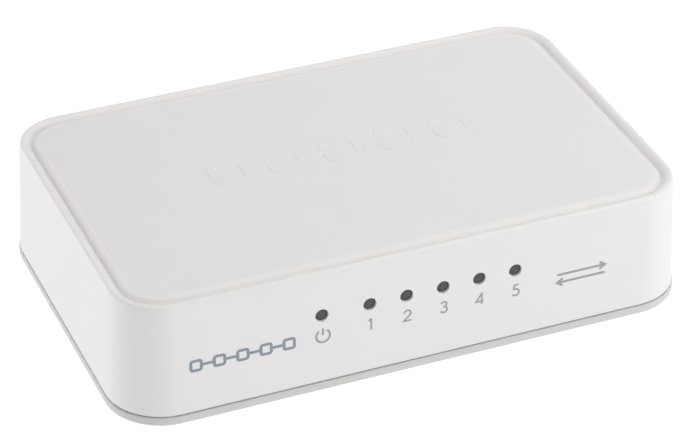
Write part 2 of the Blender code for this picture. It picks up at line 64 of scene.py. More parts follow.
# Case, read from the frame where the frame holds it
COVER_LOW, COVER_HIGH = box_mm("top_cover")
BASE_LOW, BASE_HIGH = box_mm("base_tray")
HALF_X = COVER_HIGH.x
HALF_Y = COVER_HIGH.y
PARTING_Z = COVER_LOW.z
TOP_Z = COVER_HIGH.z
BASE_Z = BASE_LOW.z
BASE_PROUD = BASE_HIGH.x - HALF_X
BASE_TOP = PARTING_Z - 0.2
BASE_ROUND = 0.6
BASE_EDGE = 0.16
FLOOR_TOP = BASE_Z + 1.8
CORNER = 11.5
TAPER = math.tan(math.radians(2.7))
WALL = 2.0
CEILING = TOP_Z - 2.2
CEILING_INTO = 0.5
EDGE_ROUND = 0.7
CORNER_STEPS = 24

# The top's relief: a rim that rolls over into a crease, and a raised panel, as (inset, depth below the rim)
RELIEF = (
    (0.7, 0.0), (1.0, 0.06), (1.3, 0.19), (1.6, 0.38), (1.9, 0.62), (2.2, 0.9), (2.4, 1.05), (2.52, 1.03),
    (2.72, 0.78), (2.92, 0.48), (3.12, 0.27), (3.4, 0.17), (3.8, 0.15),
)
RELIEF_STEPS = 3
RIM_HIGH = 1.3
PANEL_DEPTH = RELIEF[-1][1]
PANEL_AREA = 1000.0
RIM_SLOT = 1
PANEL_SLOT = 2

# Insides of the case
LIP_INSET = WALL + 0.25
LIP_THICK = 1.2
LIP_TOP = 5.2
POST_FOOT = 2.0
POST_RADIUS = 4.0
BOSS_RADIUS = 3.2
BOSS_FOOT = LIP_TOP + 0.2
BOSS_BORE = 1.35
BORE_TOP = 14.0
BOARD_TOP = box_mm("circuit_board")[1].z
PART_Z = BOARD_TOP + 0.05
UPSTAND_Y = 36.1
UPSTAND_TOP = BOARD_TOP - 0.1
CUTOUT_GAP = 0.3
CUTOUT_YS = (34.0, 40.0)
RIB_XS = (-30.0, 30.0)
RIB_YS = (-30.0, 14.0)
RIB_DEEP = 2.2
RIB_HALF = 0.6

# Sockets
PORTS = 5
FACE_Y = box_mm("port_1_shield")[1].y
JACK_WIDE = 15.9
JACK_HIGH = 13.3
JACK_LONG = 20.0
SHEET = 0.25
PLUG_WIDE = 11.8
PLUG_LOW = 4.2
PLUG_HIGH = 11.1
PLUG_DEEP = 13.0
LATCH_WIDE = 6.4
LATCH_MIDDLE = 2.6
KEY_WIDE = 3.8
KEY_LOW = 0.9
WIRES = 8
WIRE_PITCH = 1.016
WIRE_RADIUS = 0.21
COMB_Y = -3.4
COMB_Z = 11.6
COMB_ROOM_TOP = 12.1
COMB_SLOPE = math.radians(19.0)
FIN_HALF = 0.15
POCKET_X = 5.95
POCKET_HALF = 0.35
SEAM_INSET = 0.62
SEAM_HALF = 0.05
POWER_WIDE = 9.0
POWER_HIGH = 10.8
POWER_LONG = 13.5
BARREL_Z = 6.3
BARREL_RADIUS = 3.15
BARREL_DEEP = 9.6
BARREL_FLARE = 0.35

# Small round things
LIGHT_Z = 18.0
LIGHT_HOLE = 1.32
LIGHT_MOUTH = 1.36
LIGHT_END_Y = box_mm("light_guide")[0].y
PIPE_HALF = 1.1
PIPE_TIP = 1.27
PIPE_END_Y = -35.0
BAR_LEG = 2.0
BAR_LOW = 12.5
BAR_HIGH = 14.5
FOOT_SUNK = 0.5
FOOT_RECESS = 5.1
FOOT_EDGE = 0.45
HEAD_RADIUS = 2.5
HEAD_HIGH = 1.7
SCREW_SEAT = BASE_Z + 2.55
SHANK_ROOM = 1.6
SHANK_RADIUS = 1.2
SHANK_LONG = 8.4
KEYHOLE_HEAD = 3.75
KEYHOLE_NECK = 2.1
KEYHOLE_TRAVEL = 8.0
KEYHOLES = ((-38.0, 4.0), (38.0, 4.0))
VENT_XS = [6.0 * i for i in range(-5, 6)]
VENT_Y = (6.0, 22.0)
VENT_WIDE = 1.8
LABEL_GAP = 0.3
LABEL_RECESS = 0.3
BORDER_INSET = 1.0
BORDER_WIDE = 0.25

# Printed marks on the walls, and the raised sign on the panel
INK = 0.02
DIGIT_LOW = 12.2
DIGIT_STROKE = 0.37
POWER_MARK_Z = 13.4
POWER_STROKE = 0.43
MARKS_ASIDE = 0.13
BACK_MARK_Z = 22.2
BACK_DIGIT_SCALE = 0.82
FRONT_SIGN_AT = (-36.0, 13.4)
RIGHT_SIGN_AT = (35.0, 13.75)
RAISED_SIGN_AT = (0.75, 3.0)
RAISED_HIGH = 0.14
RAISED_SLOPE = 0.2
RAISED_SUNK = 0.01

# Camera: where it stands round the case, and how far it aims off the case's middle
CAMERA_TURN = -22.68
CAMERA_RISE = 33.07
CAMERA_ROLL = 0.29
CAMERA_DISTANCE = 605.8
CAMERA_AIM = (0.0, 0.0, 14.0)
CAMERA_OFFSET = (1.33, -1.16)
CAMERA_LENS = 154.06


# ---- Solids, each as a bmesh in millimetres ----


def block(low, high):
    solid = bmesh.new()
    bmesh.ops.create_cube(solid, size=1.0)
    low, high = Vector(low), Vector(high)
    bmesh.ops.scale(solid, vec=high - low, verts=solid.verts)
    bmesh.ops.translate(solid, vec=(low + high) / 2, verts=solid.verts)
    return solid


def loft(rings, closed=False):
    """A skin through rings of equal counts, capped at both ends or joined from the last to the first."""
    solid = bmesh.new()
    rows = [[solid.verts.new(point) for point in ring] for ring in rings]
    following = rows[1:] + rows[:1] if closed else rows[1:]
    for row, above in zip(rows, following):
        for i in range(len(row)):
            j = (i + 1) % len(row)
            solid.faces.new((row[i], row[j], above[j], above[i]))
    if not closed:
        solid.faces.new(rows[0])
        solid.faces.new(rows[-1])
    bmesh.ops.recalc_face_normals(solid, faces=solid.faces)
    return solid


def circle(radius, z, sides):
    turns = [2 * math.pi * i / sides for i in range(sides)]
    return [(radius * math.cos(t), radius * math.sin(t), z) for t in turns]


def turned(profile, at=(0.0, 0.0), sides=48):
    """A solid turned about a vertical axis, from a profile of (radius, z) between two flat ends."""
    solid = loft([circle(radius, z, sides) for radius, z in profile])
    bmesh.ops.translate(solid, vec=(at[0], at[1], 0.0), verts=solid.verts)
    return solid


def turned_along_y(profile, x, z, sides=48):
    """The same about an axis along Y, from a profile of (radius, y)."""
    solid = turned(profile, sides=sides)
    bmesh.ops.rotate(solid, matrix=Matrix.Rotation(math.radians(-90), 3, "X"), verts=solid.verts)
    bmesh.ops.translate(solid, vec=(x, 0.0, z), verts=solid.verts)
    return solid


def rod(radius, low, high, at=(0.0, 0.0), sides=48):
    return turned([(radius, low), (radius, high)], at, sides)


def prism(outline, axis, low, high):
    """An outline pushed along an axis: its pairs are (y, z) along X, (x, z) along Y, (x, y) along Z."""

    def place(pair, level):
        point = list(pair)
        point.insert("XYZ".index(axis), level)
        return point

    return loft([[place(pair, level) for pair in outline] for level in (low, high)])


def rounded_outline(half_x, half_y, radius, steps=CORNER_STEPS, at=(0.0, 0.0)):
    points = []
    for quarter, (side_x, side_y) in enumerate(((1, 1), (-1, 1), (-1, -1), (1, -1))):
        for step in range(steps + 1):
            turn = math.radians(90 * (quarter + step / steps))
            x = at[0] + side_x * (half_x - radius) + radius * math.cos(turn)
            y = at[1] + side_y * (half_y - radius) + radius * math.sin(turn)
            points.append((x, y))
    return points


def arc(centre, radius, start, end, steps=20):
    turns = [math.radians(start + (end - start) * i / steps) for i in range(steps + 1)]
    return [(centre[0] + radius * math.cos(t), centre[1] + radius * math.sin(t)) for t in turns]


def smooth_curve(points, steps):
    """Points along a Catmull-Rom curve through the given points."""

    def between(a, b, c, d, t):
        bend = (2 * a - 5 * b + 4 * c - d) * t**2 + (3 * b - a - 3 * c + d) * t**3
        return 0.5 * (2 * b + (c - a) * t + bend)

    padded = [points[0], *points, points[-1]]
    curve = []
    for four in zip(padded, padded[1:], padded[2:], padded[3:]):
        for step in range(steps):
            curve.append(tuple(between(*values, step / steps) for values in zip(*four)))
    return [*curve, points[-1]]


def tube(path, radius, sides=12):
    """A round wire along a path of points, with slightly rounded ends."""
    path = [Vector(point) for point in path]
    rings = []
    for i, point in enumerate(path):
        along = (path[min(i + 1, len(path) - 1)] - path[max(i - 1, 0)]).normalized()
        aside = Vector((1.0, 0.0, 0.0)) if abs(along.x) < 0.9 else Vector((0.0, 1.0, 0.0))
        side = along.cross(aside).normalized()
        up = along.cross(side)
        size = radius * (0.7 if i in (0, len(path) - 1) else 1.0)
        turns = [2 * math.pi * k / sides for k in range(sides)]
        rings.append([point + side * size * math.cos(t) + up * size * math.sin(t) for t in turns])
    return loft(rings)


def together(solids):
    """Several solids in one bmesh."""
    whole = bmesh.new()
    for solid in solids:
        mesh = bpy.data.meshes.new("part")
        solid.to_mesh(mesh)
        whole.from_mesh(mesh)
        bpy.data.meshes.remove(mesh)
        solid.free()
    return whole


# ---- Pieces ----


def mesh_of(solid, name):
    bmesh.ops.scale(solid, vec=(METRES,) * 3, verts=solid.verts)
    mesh = bpy.data.meshes.new(name)
    solid.to_mesh(mesh)
    solid.free()
    return mesh


def add_object(name, mesh):
    made = bpy.data.objects.new(name, mesh)
    bpy.context.scene.collection.objects.link(made)
    return made


def combine(target, solid, operation):
    tool = add_object("tool", mesh_of(solid, "tool"))
    modifier = target.modifiers.new(operation.title(), "BOOLEAN")
    modifier.operation = operation
    modifier.object = tool
    graph = bpy.context.evaluated_depsgraph_get()
    target.data = bpy.data.meshes.new_from_object(target.evaluated_get(graph))
    target.modifiers.clear()
    bpy.data.objects.remove(tool)


def build(solid, joined=(), cut=(), added=()):
    """The mesh of a solid with others joined to it, then others cut out, then more added in the hollows."""
    shaped = add_object("shaped", mesh_of(solid, "shaped"))
    for other in joined:
        combine(shaped, other, "UNION")
    for other in cut:
        combine(shaped, other, "DIFFERENCE")
    for other in added:
        combine(shaped, other, "UNION")
    mesh = shaped.data
    bpy.data.objects.remove(shaped)
    return mesh


def soften(piece, width, segments=2):
    """Rounds the sharp edges of a piece a little."""
    bevel = piece.modifiers.new("Bevel", "BEVEL")
    bevel.width = width * METRES
    bevel.segments = segments
    bevel.limit_method = "ANGLE"
    bevel.angle_limit = math.radians(40)


def add_piece(name, mesh, finish, stands_for=(), body="root", at=(0.0, 0.0, 0.0), edge=0.0):
    """A visible piece in its finish, which rides on a body and stands for CAD nodes."""
    piece = add_object(name, mesh)
    piece.location = Vector(at) * METRES
    mesh.shade_smooth()
    mesh.set_sharp_from_angle(angle=math.radians(32))
    mesh.materials.clear()
    mesh.materials.append(material(finish))
    if edge:
        soften(piece, edge)
    weighted = piece.modifiers.new("Weighted normals", "WEIGHTED_NORMAL")
    weighted.keep_sharp = True
    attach(piece, body)
    if stands_for:
        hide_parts(*stands_for)
    return piece


# ---- Materials ----


class Surface:
    """A Principled material whose textures are read in the object's own metres."""

    def __init__(self, name, colour, roughness, metallic=0.0, **sockets):
        self.made = bpy.data.materials.new(name)
        self.made.use_nodes = True
        self.tree = self.made.node_tree
        self.shader = self.tree.nodes["Principled BSDF"]
        self.shader.inputs["Base Color"].default_value = (*colour, 1.0)
        self.shader.inputs["Roughness"].default_value = roughness
        self.shader.inputs["Metallic"].default_value = metallic
        for socket, value in sockets.items():
            self.shader.inputs[socket.replace("_", " ")].default_value = value
        self.made.diffuse_color = (*colour, 1.0)
        self.place = self.node("ShaderNodeTexCoord").outputs["Object"]

    def node(self, kind, **settings):
        made = self.tree.nodes.new(kind)
        for key, value in settings.items():
            setattr(made, key, value)
        return made

    def link(self, source, target):
        self.tree.links.new(source, target)

    def stretched(self, scale):
        mapping = self.node("ShaderNodeMapping")
        mapping.inputs["Scale"].default_value = scale
        self.link(self.place, mapping.inputs["Vector"])
        return mapping.outputs["Vector"]

    def noise(self, size_mm, detail=2.0, stretch=(1.0, 1.0, 1.0)):
        """Noise whose features are about size_mm across, wider along an axis whose stretch is below 1."""
        texture = self.node("ShaderNodeTexNoise")
        texture.inputs["Scale"].default_value = 1.0 / (size_mm * METRES)
        texture.inputs["Detail"].default_value = detail
        self.link(self.stretched(stretch), texture.inputs["Vector"])
        return texture.outputs["Fac"]

    def cells(self, size_mm, feature="F1"):
        texture = self.node("ShaderNodeTexVoronoi", feature=feature)
        texture.inputs["Scale"].default_value = 1.0 / (size_mm * METRES)
        self.link(self.place, texture.inputs["Vector"])
        return texture.outputs["Distance"]

    def spread(self, value, low, high, start=0.3, end=0.7):
        """A value that runs from low to high as the texture runs from start to end."""
        span = self.node("ShaderNodeMapRange")
        for socket, number in (("From Min", start), ("From Max", end), ("To Min", low), ("To Max", high)):
            span.inputs[socket].default_value = number
        self.link(value, span.inputs["Value"])
        return span.outputs["Result"]

    def maths(self, operation, first, second):
        made = self.node("ShaderNodeMath", operation=operation, use_clamp=True)
        self.link(first, made.inputs[0])
        self.link(second, made.inputs[1])
        return made.outputs["Value"]

    def product(self, first, second):
        return self.maths("MULTIPLY", first, second)

    def sum(self, first, second):
        return self.maths("ADD", first, second)

    def colours(self, value, first, second):
        mix = self.node("ShaderNodeMix", data_type="RGBA")
        mix.inputs["A"].default_value = (*first, 1.0)
        mix.inputs["B"].default_value = (*second, 1.0)
        self.link(value, mix.inputs["Factor"])
        self.link(mix.outputs["Result"], self.shader.inputs["Base Color"])

    def rough(self, value):
        self.link(value, self.shader.inputs["Roughness"])

    def bump(self, value, height_mm, strength=1.0):
        """Adds relief of about height_mm on top of what is there already."""
        bump = self.node("ShaderNodeBump")
        bump.inputs["Distance"].default_value = height_mm * METRES
        bump.inputs["Strength"].default_value = strength
        self.link(value, bump.inputs["Height"])
        normal = self.shader.inputs["Normal"]
        if normal.is_linked:
            self.link(normal.links[0].from_socket, bump.inputs["Normal"])
        self.link(bump.outputs["Normal"], normal)
        return self


def moulded(name, colour, roughness, grain_mm, grain_high):
    """Moulded plastic: a fine spark-eroded grain, a faint mottle in the colour, and patches of gloss."""
    surface = Surface(name, colour, roughness, IOR=1.5)
    paler = tuple(min(1.0, c * 1.012) for c in colour)
    darker = tuple(c * 0.985 for c in colour)
    surface.colours(surface.noise(9.0, 3.0), darker, paler)
    surface.rough(surface.spread(surface.noise(2.5, 4.0), roughness - 0.04, roughness + 0.05))
    surface.bump(surface.noise(14.0, 1.0), 0.02, 0.25)
    surface.bump(surface.noise(grain_mm, 2.0), grain_high, 0.5)
    return surface.made


def case_white():
    return moulded("case_white", (0.816, 0.80, 0.808), 0.5, 0.16, 0.006)


# A copy of the case white for the rim and crease, paler to paint the light that the upward-facing rim
# catches, and a little warmer in tone.
def rim_white():
    return moulded("rim_white", (0.84, 0.819, 0.812), 0.42, 0.14, 0.008)


def panel_white():
    return moulded("panel_white", (0.811, 0.797, 0.801), 0.52, 0.12, 0.010)


def base_grey():
    return moulded("base_grey", (0.63, 0.625, 0.618), 0.5, 0.2, 0.008)


def black_plastic():
    return moulded("black_plastic", (0.018, 0.018, 0.019), 0.42, 0.1, 0.01)


def mark_grey():
    surface = Surface("mark_grey", (0.34, 0.35, 0.365), 0.45)
    surface.colours(surface.noise(0.12, 2.0), (0.31, 0.32, 0.335), (0.37, 0.38, 0.395))
    surface.rough(surface.spread(surface.noise(0.4), 0.40, 0.55))
    return surface.made


def mark_blue():
    surface = Surface("mark_blue", (0.25, 0.29, 0.34), 0.45)
    surface.colours(surface.noise(0.12, 2.0), (0.22, 0.26, 0.31), (0.28, 0.33, 0.38))
    surface.rough(surface.spread(surface.noise(0.4), 0.40, 0.55))
    return surface.made


def smoked_clear():
    surface = Surface("smoked_clear", (0.06, 0.057, 0.053), 0.25, IOR=1.49)
    surface.colours(surface.noise(0.9, 2.0), (0.052, 0.05, 0.046), (0.068, 0.065, 0.06))
    surface.rough(surface.spread(surface.noise(0.5), 0.2, 0.34))
    surface.bump(surface.noise(0.6, 1.0), 0.01, 0.4)
    return surface.made


def foot_rubber():
    surface = Surface("foot_rubber", (0.035, 0.035, 0.036), 0.8)
    surface.colours(surface.noise(0.6, 4.0), (0.028, 0.028, 0.029), (0.05, 0.05, 0.05))
    surface.rough(surface.spread(surface.noise(1.2), 0.7, 0.92))
    surface.bump(surface.noise(0.25, 3.0), 0.03, 0.6)
    return surface.made


def screw_steel():
    surface = Surface("screw_steel", (0.50, 0.50, 0.51), 0.3, 1.0)
    surface.colours(surface.noise(0.8, 4.0), (0.40, 0.40, 0.42), (0.58, 0.57, 0.55))
    surface.rough(surface.spread(surface.noise(0.35, 3.0), 0.22, 0.45))
    surface.bump(surface.noise(0.2, 2.0), 0.01, 0.4)
    return surface.made


def tin_plate():
    surface = Surface("tin_plate", (0.62, 0.62, 0.60), 0.3, 1.0)
    surface.colours(surface.noise(1.6, 4.0), (0.54, 0.54, 0.53), (0.68, 0.68, 0.66))
    surface.rough(surface.spread(surface.noise(0.12, 3.0, (1.0, 1.0, 0.04)), 0.22, 0.42))
    surface.bump(surface.noise(0.1, 2.0, (1.0, 1.0, 0.03)), 0.004, 0.5)
    return surface.made


def gold_plate():
    surface = Surface("gold_plate", (0.86, 0.62, 0.22), 0.22, 1.0)
    surface.colours(surface.noise(0.5, 3.0), (0.80, 0.55, 0.18), (0.92, 0.70, 0.30))
    surface.rough(surface.spread(surface.noise(0.3), 0.15, 0.32))
    return surface.made


def board_green():
    """Solder mask over copper: straight tracks and round pads show as a paler green, slightly raised."""
    surface = Surface("board_green", (0.015, 0.12, 0.05), 0.35, IOR=1.5)
    tracks = surface.node("ShaderNodeTexBrick")
    for socket, number in (("Scale", 1.0 / (2.4 * METRES)), ("Mortar Size", 0.08), ("Mortar Smooth", 0.1)):
        tracks.inputs[socket].default_value = number
    tracks.inputs["Brick Width"].default_value = 3.0
    tracks.inputs["Row Height"].default_value = 0.4
    surface.link(surface.place, tracks.inputs["Vector"])
    where = surface.spread(surface.cells(11.0), 1.0, 0.0, 0.42, 0.46)
    pads = surface.spread(surface.cells(2.6), 1.0, 0.0, 0.16, 0.19)
    copper = surface.sum(surface.product(tracks.outputs["Fac"], where), pads)
    surface.colours(copper, (0.012, 0.10, 0.04), (0.05, 0.27, 0.12))
    surface.rough(surface.spread(surface.noise(1.0, 3.0), 0.28, 0.42))
    surface.bump(copper, 0.03, 0.6)
    return surface.made


def black_aluminium():
    surface = Surface("black_aluminium", (0.03, 0.03, 0.033), 0.42, 0.7)
    surface.colours(surface.noise(1.0, 4.0), (0.025, 0.025, 0.028), (0.045, 0.045, 0.05))
    surface.rough(surface.spread(surface.noise(0.15, 3.0, (1.0, 0.03, 1.0)), 0.34, 0.52))
    surface.bump(surface.noise(0.12, 2.0, (1.0, 0.03, 1.0)), 0.01, 0.5)
    return surface.made


def bare_aluminium():
    surface = Surface("bare_aluminium", (0.72, 0.73, 0.74), 0.3, 1.0)
    surface.colours(surface.noise(2.0, 3.0), (0.66, 0.67, 0.68), (0.77, 0.78, 0.79))
    surface.rough(surface.spread(surface.noise(0.15, 3.0, (1.0, 1.0, 0.05)), 0.22, 0.38))
    return surface.made


def light_white():
    surface = Surface("light_white", (0.78, 0.76, 0.66), 0.35, IOR=1.5)
    surface.colours(surface.noise(0.8, 2.0), (0.74, 0.72, 0.60), (0.82, 0.80, 0.70))
    surface.rough(surface.spread(surface.noise(0.3), 0.28, 0.44))
    return surface.made


def label_silver():
    surface = Surface("label_silver", (0.66, 0.66, 0.67), 0.45, 0.3)
    surface.colours(surface.noise(0.35, 4.0), (0.62, 0.62, 0.63), (0.70, 0.70, 0.71))
    surface.rough(surface.spread(surface.noise(0.1, 3.0, (0.1, 1.0, 1.0)), 0.38, 0.55))
    surface.bump(surface.noise(0.3, 2.0), 0.01, 0.4)
    return surface.made


def label_print():
    surface = Surface("label_print", (0.10, 0.10, 0.105), 0.5)
    surface.colours(surface.noise(0.2, 2.0), (0.08, 0.08, 0.085), (0.14, 0.14, 0.145))
    return surface.made


FINISHES = {
    recipe.__name__: recipe
    for recipe in (
        case_white, rim_white, panel_white, base_grey, black_plastic, mark_grey, mark_blue, smoked_clear,
        foot_rubber, screw_steel, tin_plate, gold_plate, board_green, black_aluminium, bare_aluminium,
        light_white, label_silver, label_print,
    )
}


@functools.cache
def material(finish):
    """The finish of that name, made the first time it is asked for."""
    return FINISHES[finish]()


def finish_kept_nodes():
    """Every CAD node takes the procedural finish of its own slot instead of its flat colour."""
    slots = {entry["node"]: entry["material_slot"] for entry in frame["record"]["subparts"]}
    for node in frame["nodes"].values():
        node.data.materials.clear()
    for flat in [made for made in bpy.data.materials if not made.users]:
        bpy.data.materials.remove(flat)
    for name, node in frame["nodes"].items():
        node.data.materials.append(material(slots[name]))


# ---- Case ----


def case_ring(z, inset):
    """The tapered outer surface of the cover at a height, moved inwards."""
    inwards = TAPER * (z - PARTING_Z) + inset
    return [(x, y, z) for x, y in rounded_outline(HALF_X - inwards, HALF_Y - inwards, CORNER - inwards)]


def base_ring(z, inset):
    grown = BASE_PROUD - inset
    return [(x, y, z) for x, y in rounded_outline(HALF_X + grown, HALF_Y + grown, CORNER + grown)]


def jack_xs():
    boxes = [box_mm(f"port_{number + 1}_shield") for number in range(PORTS)]
    return [(low.x + high.x) / 2 for low, high in boxes]


def middle(node):
    low, high = box_mm(node)
    return (low + high) / 2


def screw_places():
    return [middle(f"case_screw_{number}").xy for number in (1, 2, 3, 4)]


def light_xs():
    return [middle(f"indicator_led_{name}").x for name in ("power", "1", "2", "3", "4", "5")]


def cutout_spans():
    """The two gaps in the back wall, as (low x, high x, top z)."""
    low, high = box_mm("power_socket_body")
    spans = [(low.x - CUTOUT_GAP, high.x + CUTOUT_GAP, high.z + CUTOUT_GAP)]
    first, last = box_mm("port_1_shield"), box_mm(f"port_{PORTS}_shield")
    spans.append((first[0].x - CUTOUT_GAP, last[1].x + CUTOUT_GAP, last[1].z + CUTOUT_GAP))
    return spans


def front_y(z):
    return TAPER * (z - PARTING_Z) - HALF_Y


def cover_skin():
    turns = [math.radians(90 * i / 8) for i in range(9)]
    rounding = [
        case_ring(TOP_Z - EDGE_ROUND * (1 - math.sin(t)), EDGE_ROUND * (1 - math.cos(t))) for t in turns
    ]
    profile = smooth_curve(RELIEF, RELIEF_STEPS)
    relief = [case_ring(TOP_Z - max(0.0, depth), inset) for inset, depth in profile]
    panel_edge = case_ring(TOP_Z - PANEL_DEPTH, RELIEF[-1][0] + 0.5)
    lower_edge = [case_ring(PARTING_Z, 0.1), case_ring(PARTING_Z + 0.1, 0.0)]
    inside = [case_ring(CEILING, WALL), case_ring(PARTING_Z, WALL)]
    return loft(inside + lower_edge + rounding + relief + [panel_edge])


def top_cover():
    into = CEILING + CEILING_INTO
    bosses = together(rod(BOSS_RADIUS, BOSS_FOOT, into, at) for at in screw_places())
    ribs = together(
        block((x - RIB_HALF, RIB_YS[0], CEILING - RIB_DEEP), (x + RIB_HALF, RIB_YS[1], into)) for x in RIB_XS
    )
    bores = together(rod(BOSS_BORE, BOSS_FOOT - 1.2, BORE_TOP, at) for at in screw_places())
    wall = front_y(LIGHT_Z)
    hole = [(LIGHT_MOUTH, wall - 1.0), (LIGHT_MOUTH, wall - 0.02)]
    hole += [(LIGHT_HOLE, wall + 0.14), (LIGHT_HOLE, wall + 4.0)]
    holes = together(turned_along_y(hole, x, LIGHT_Z) for x in light_xs())
    cutouts = together(
        block((low, CUTOUT_YS[0], 0.0), (high, CUTOUT_YS[1], top)) for low, high, top in cutout_spans()
    )
    mesh = build(cover_skin(), joined=[bosses, ribs], cut=[bores, holes, cutouts])
    add_piece("cover", mesh, "case_white", ["top_cover"])
    # Upward-facing faces near the top take the paler rim finish, painted light on the rim and crease; the
    # large flat panel takes the panel finish.
    mesh.materials.append(material("rim_white"))
    mesh.materials.append(material("panel_white"))
    for face in mesh.polygons:
        if face.center.z > (TOP_Z - RIM_HIGH) * METRES and face.normal.z > 0.3:
            is_panel = face.normal.z > 0.99 and face.area > PANEL_AREA * METRES**2
            face.material_index = PANEL_SLOT if is_panel else RIM_SLOT


def keyhole_outline(x, y):
    sides = 20
    outline = []
    for i in range(sides + 1):
        turn = math.pi * i / sides
        neck_y = y - KEYHOLE_TRAVEL - KEYHOLE_NECK * math.sin(turn)
        outline.append((x - KEYHOLE_NECK * math.cos(turn), neck_y))
    start = math.asin(KEYHOLE_NECK / KEYHOLE_HEAD)
    for i in range(2 * sides + 1):
        turn = -math.pi / 2 + start + (2 * math.pi - 2 * start) * i / (2 * sides)
        outline.append((x + KEYHOLE_HEAD * math.cos(turn), y + KEYHOLE_HEAD * math.sin(turn)))
    return outline


def base_skin():
    turns = [math.radians(90 * i / 6) for i in range(7)]
    rings = [
        base_ring(BASE_Z + BASE_ROUND * (1 - math.cos(t)), BASE_ROUND * (1 - math.sin(t))) for t in turns
    ]
    rings += [base_ring(BASE_TOP - BASE_EDGE, 0.0), base_ring(BASE_TOP, BASE_EDGE)]
    rings += [case_ring(BASE_TOP, LIP_INSET), case_ring(LIP_TOP, LIP_INSET)]
    rings += [case_ring(LIP_TOP, LIP_INSET + LIP_THICK), case_ring(FLOOR_TOP, LIP_INSET + LIP_THICK)]
    return loft(rings)


def screw_holes():
    """Counterbores for the heads, with a way for the shanks above them."""
    head, seat = HEAD_RADIUS + 0.4, SCREW_SEAT + 0.05
    profile = [(head + 0.2, 0.0), (head + 0.2, BASE_Z), (head, BASE_Z + 0.2), (head, seat)]
    profile += [(SHANK_ROOM, seat), (SHANK_ROOM, LIP_TOP + 1.0)]
    return [turned(profile, at) for at in screw_places()]


def foot_recesses():
    top = BASE_Z + FOOT_SUNK + 0.1
    return [rod(FOOT_RECESS, 0.0, top, middle(f"rubber_foot_{number}").xy) for number in (1, 2, 3, 4)]


def vents():
    middle_y, half_y = (VENT_Y[0] + VENT_Y[1]) / 2, (VENT_Y[1] - VENT_Y[0]) / 2
    slots = [rounded_outline(VENT_WIDE / 2, half_y, VENT_WIDE / 2 - 0.01, 8, (x, middle_y)) for x in VENT_XS]
    return [prism(slot, "Z", 0.0, FLOOR_TOP + 1.0) for slot in slots]


def label_place():
    """The middle and the half sizes of the label."""
    low, high = box_mm("rating_label")
    return ((low.x + high.x) / 2, (low.y + high.y) / 2), (high.x - low.x) / 2, (high.y - low.y) / 2


def label_bed():
    at, half_x, half_y = label_place()
    outline = rounded_outline(half_x + LABEL_GAP, half_y + LABEL_GAP, 1.0, 6, at)
    return prism(outline, "Z", 0.0, BASE_Z + LABEL_RECESS)


def base_tray():
    upstands = together(
        block((low + 0.1, UPSTAND_Y, POST_FOOT), (high - 0.1, FACE_Y, UPSTAND_TOP))
        for low, high, _ in cutout_spans()
    )
    posts = together(rod(POST_RADIUS, POST_FOOT, LIP_TOP, at) for at in screw_places())
    cutters = screw_holes() + foot_recesses() + vents() + [label_bed()]
    cutters += [prism(keyhole_outline(*at), "Z", 0.0, FLOOR_TOP + 1.0) for at in KEYHOLES]
    mesh = build(base_skin(), joined=[upstands, posts], cut=[together(cutters)])
    add_piece("base", mesh, "base_grey", ["base_tray"])


def feet():
    low, high = box_mm("rubber_foot_1")
    radius, top = (high.x - low.x) / 2, high.z
    dish = [(radius * 0.55, 0.12), (radius * 0.62, 0.02), (radius * 0.68, 0.0)]
    turns = (0.0, 0.4, 0.8, 1.2, math.pi / 2)
    side = [(radius - FOOT_EDGE * (1 - math.sin(t)), FOOT_EDGE * (1 - math.cos(t))) for t in turns]
    mesh = mesh_of(turned(dish + side + [(radius, top - 0.05), (radius - 0.05, top)], sides=64), "foot")
    for number in (1, 2, 3, 4):
        place = middle(f"rubber_foot_{number}")
        at = (place.x, place.y, 0.0)
        add_piece(f"foot_{number}", mesh, "foot_rubber", [f"rubber_foot_{number}"], at=at)


def screw_mesh():
    """A pan head with a cross recess, head down and shank up, with its seat at z = 0."""
    turns = (0.35, 0.6, 0.9, 1.2, 1.45)
    profile = [(HEAD_RADIUS * math.sin(t), -HEAD_HIGH * (0.25 + 0.75 * math.cos(t))) for t in turns]
    profile += [(HEAD_RADIUS, -0.25 * HEAD_HIGH), (HEAD_RADIUS, -0.1), (HEAD_RADIUS - 0.1, 0.0)]
    profile += [(SHANK_RADIUS, 0.0), (SHANK_RADIUS, SHANK_LONG - 0.8), (SHANK_RADIUS / 2, SHANK_LONG)]
    arms = []
    for turn in (0.0, math.pi / 2):
        wedge = loft([
            [(-1.5, -0.34, -3.0), (1.5, -0.34, -3.0), (1.5, 0.34, -3.0), (-1.5, 0.34, -3.0)],
            [(-0.35, -0.22, -0.5), (0.35, -0.22, -0.5), (0.35, 0.22, -0.5), (-0.35, 0.22, -0.5)],
        ])
        bmesh.ops.rotate(wedge, matrix=Matrix.Rotation(turn, 3, "Z"), verts=wedge.verts)
        arms.append(wedge)
    return build(turned(profile), cut=arms)


def case_screws():
    mesh = screw_mesh()
    for number, (x, y) in enumerate(screw_places(), 1):
        name = f"case_screw_{number}"
        add_piece(f"{name}_fine", mesh, "screw_steel", [name], at=(x, y, SCREW_SEAT))


def rating_label():
    """A blank label with a printed border."""
    at, half_x, half_y = label_place()
    low, high = box_mm("rating_label")
    sheet = prism(rounded_outline(half_x, half_y, 0.9, 8, at), "Z", low.z, high.z)
    add_piece("label", mesh_of(sheet, "label"), "label_silver", ["rating_label"])
    inner = BORDER_INSET + BORDER_WIDE
    outlines = [
        rounded_outline(half_x - inset, half_y - inset, radius, 6, at)
        for inset, radius in ((BORDER_INSET, 0.6), (inner, 0.4), (inner, 0.4), (BORDER_INSET, 0.6))
    ]
    under, over = low.z - 0.01, low.z + 0.02
    rings = [[(x, y, z) for x, y in outline] for outline, z in zip(outlines, (under, under, over, over))]
    add_piece("label_border", mesh_of(loft(rings, closed=True), "label_border"), "label_print")


